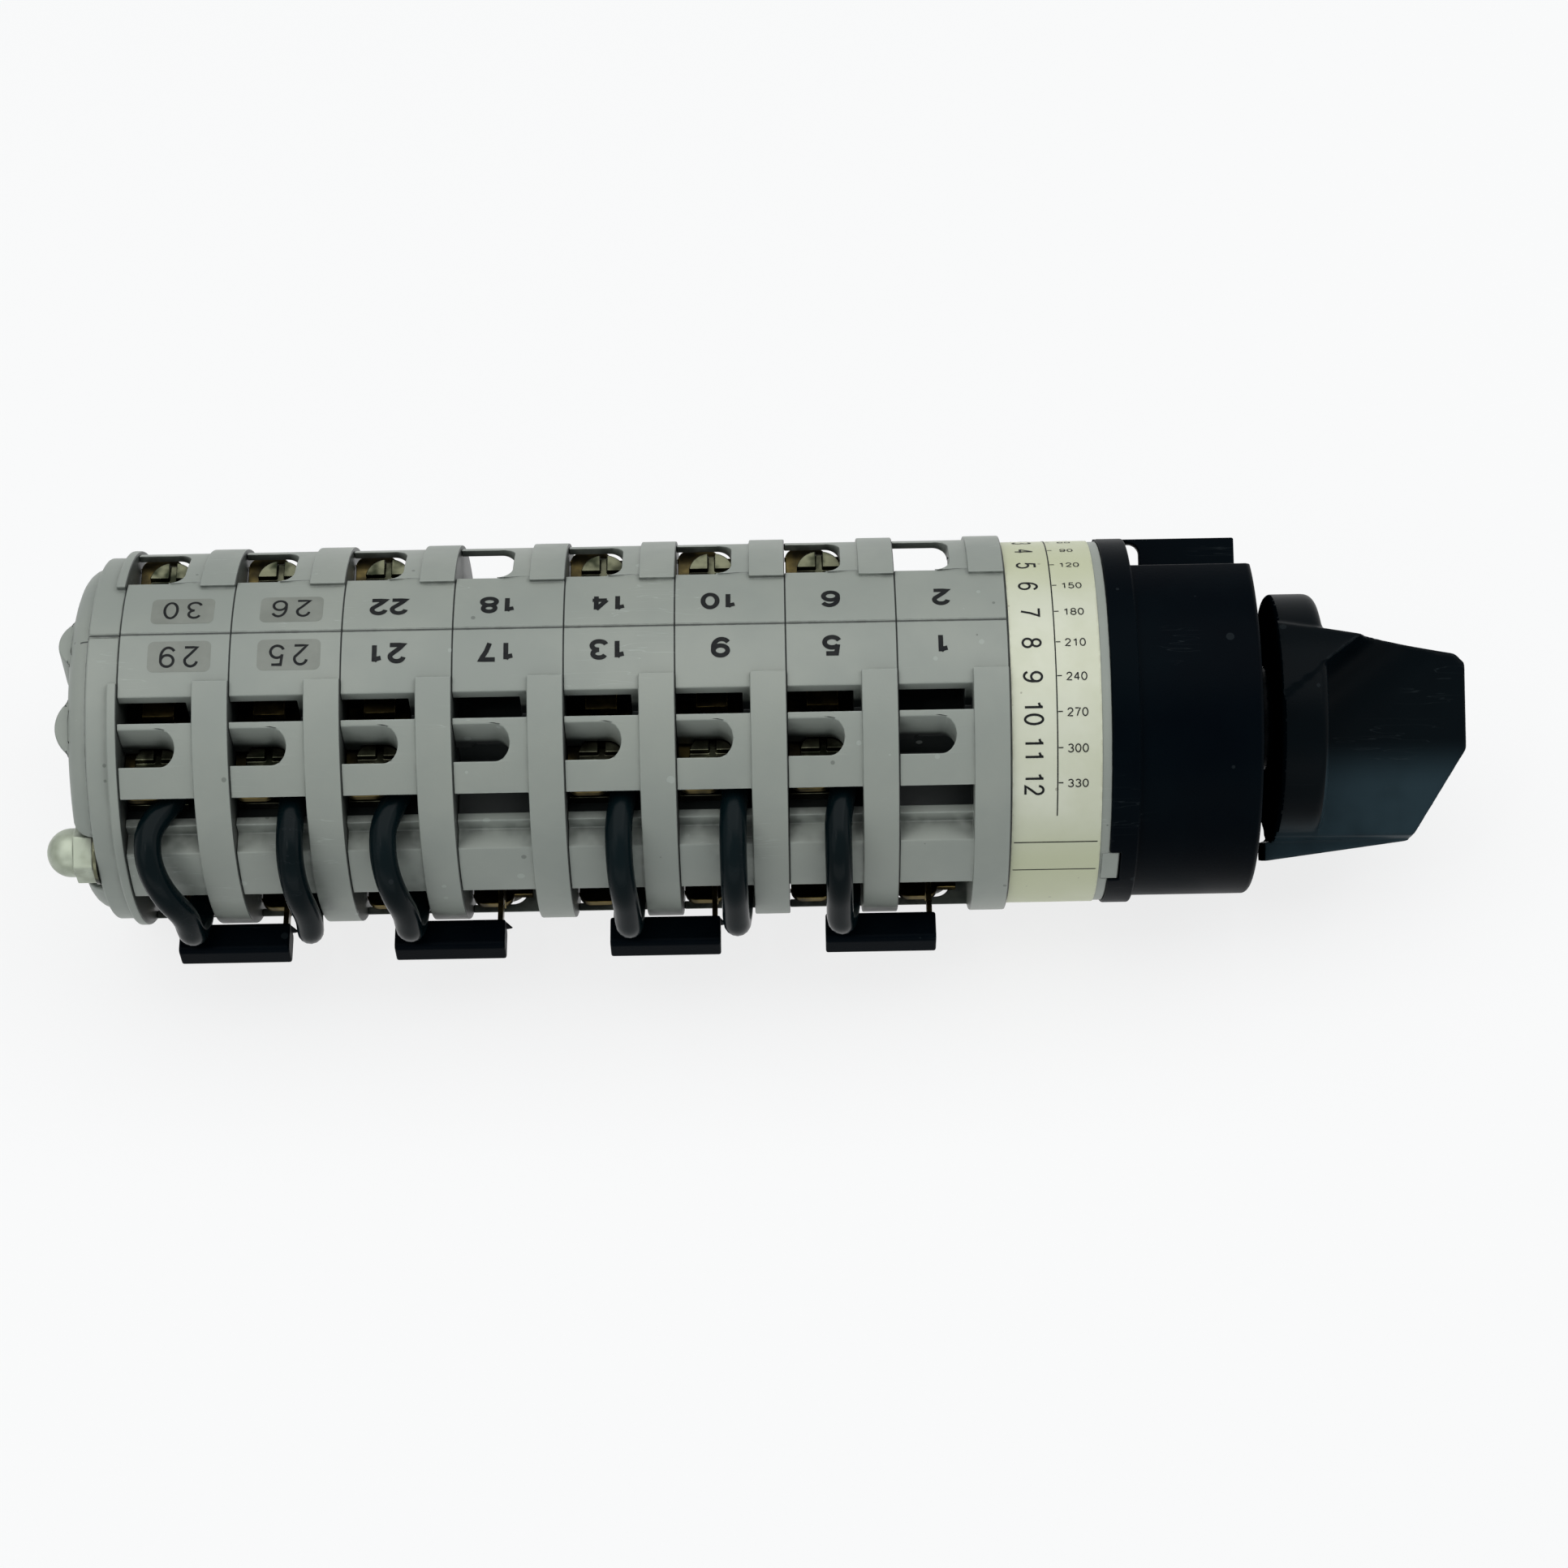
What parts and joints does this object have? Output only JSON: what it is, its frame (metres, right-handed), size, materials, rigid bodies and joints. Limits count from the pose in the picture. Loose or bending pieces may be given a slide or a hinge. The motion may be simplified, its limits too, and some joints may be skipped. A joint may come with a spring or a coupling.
{
  "type": "cam switch",
  "caption": "Round-bodied rotary cam switch: a stack of contact decks behind an index housing, a round panel housing and a bar knob.",
  "frame": {"origin": "centre of the face of the front housing that meets the panel, on the shaft axis", "axes": "+X along the shaft towards the knob, +Z towards the side of terminals 1 and 2, +Y across the decks"},
  "size_m": [0.1866, 0.0552, 0.0488],
  "materials": {
    "gray_moulding": "satin, fine grain",
    "black_moulding": "satin",
    "knob_black": "satin",
    "cream_moulding": "matt",
    "brass": "satin",
    "zinc_steel": "zinc plated",
    "spring_steel": "bright",
    "label_film": "satin film",
    "wire_sheath": "satin"
  },
  "bodies": {
    "switch_body": {"deck_1": "gray_moulding", "deck_2": "gray_moulding", "deck_3": "gray_moulding", "deck_4": "gray_moulding", "deck_5": "gray_moulding", "deck_6": "gray_moulding", "deck_7": "gray_moulding", "deck_8": "gray_moulding", "jumper_wire_2": "wire_sheath", "jumper_wire_3": "wire_sheath", "jumper_wire_4": "wire_sheath", "jumper_wire_6": "wire_sheath", "jumper_wire_7": "wire_sheath", "jumper_wire_8": "wire_sheath", "fixed_contacts": "brass", "terminal_screws": "zinc_steel", "clamp_plates": "zinc_steel", "contact_bridges": "brass", "contact_plungers": "cream_moulding", "contact_springs": "spring_steel", "link_bars": "brass", "link_caps": "black_moulding", "tie_rods": "zinc_steel", "cap_nuts": "zinc_steel", "nut_washers": "zinc_steel", "rear_cover": "gray_moulding", "index_housing": "gray_moulding", "rating_label": "label_film", "detent_spring_top": "spring_steel", "detent_spring_bottom": "spring_steel", "front_housing": "black_moulding", "bearing_bush": "brass"},
    "rotor": {"shaft": "zinc_steel", "shaft_clip": "spring_steel", "star_wheel": "cream_moulding", "knob": "knob_black", "knob_insert": "zinc_steel", "knob_screw": "zinc_steel", "cam_1": "cream_moulding", "cam_2": "cream_moulding", "cam_3": "cream_moulding", "cam_4": "cream_moulding", "cam_5": "cream_moulding", "cam_6": "cream_moulding", "cam_7": "cream_moulding", "cam_8": "cream_moulding"},
    "detent_top": {"detent_roller_top": "spring_steel"},
    "detent_bottom": {"detent_roller_bottom": "spring_steel"}
  },
  "joints": [
    {"name": "knob_turn", "type": "hinge", "parent": "switch_body", "child": "rotor", "pos_m": [0, 0, 0], "axis": [1, 0, 0], "continuous": true},
    {"name": "detent_lift_top", "type": "slide", "parent": "switch_body", "child": "detent_top", "axis": [0, 0, 1], "range_m": [0, 0.0012], "stiffness_N_per_m": 2000, "springref_m": -0.002, "deforming": ["detent_spring_top"]},
    {"name": "detent_lift_bottom", "type": "slide", "parent": "switch_body", "child": "detent_bottom", "axis": [0, 0, -1], "range_m": [0, 0.0012], "stiffness_N_per_m": 2000, "springref_m": -0.002, "deforming": ["detent_spring_bottom"]}
  ]
}
